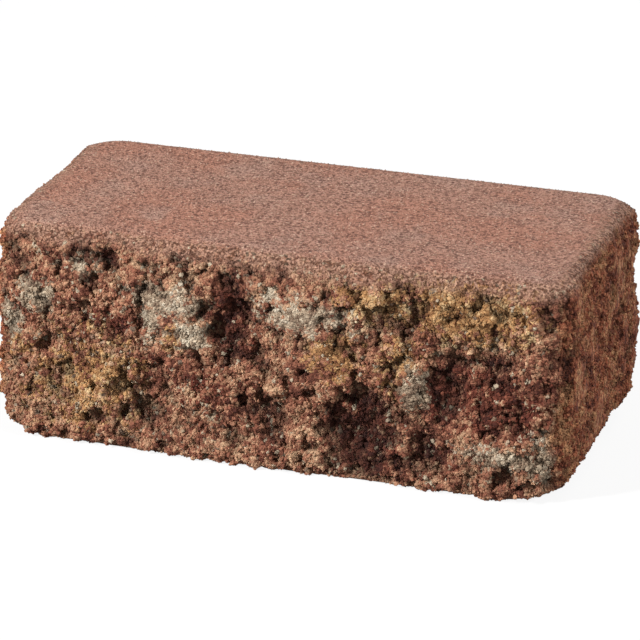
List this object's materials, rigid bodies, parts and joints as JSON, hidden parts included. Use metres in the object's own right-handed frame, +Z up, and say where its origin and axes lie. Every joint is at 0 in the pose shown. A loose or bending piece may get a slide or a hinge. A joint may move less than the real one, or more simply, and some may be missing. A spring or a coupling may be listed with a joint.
{
  "type": "garden wall block",
  "caption": "Solid oblong block of dry-cast concrete for a low garden wall, with a rough split front, worn round edges and flat bed and top faces.",
  "frame": {"origin": "middle of the block's bounding box, on the floor that its bed face rests on", "axes": "+X along the block's length, towards the right end as the split front is looked at; +Y from the split front to the back; +Z up, from the bed face to the top face"},
  "size_m": [0.3998, 0.2028, 0.15],
  "materials": {
    "concrete": "reddish brown dry-cast concrete with ochre and grey-beige patches; smooth cast top, rough split front, worn edges"
  },
  "bodies": {
    "root": {"wall_block": "concrete"}
  },
  "joints": []
}
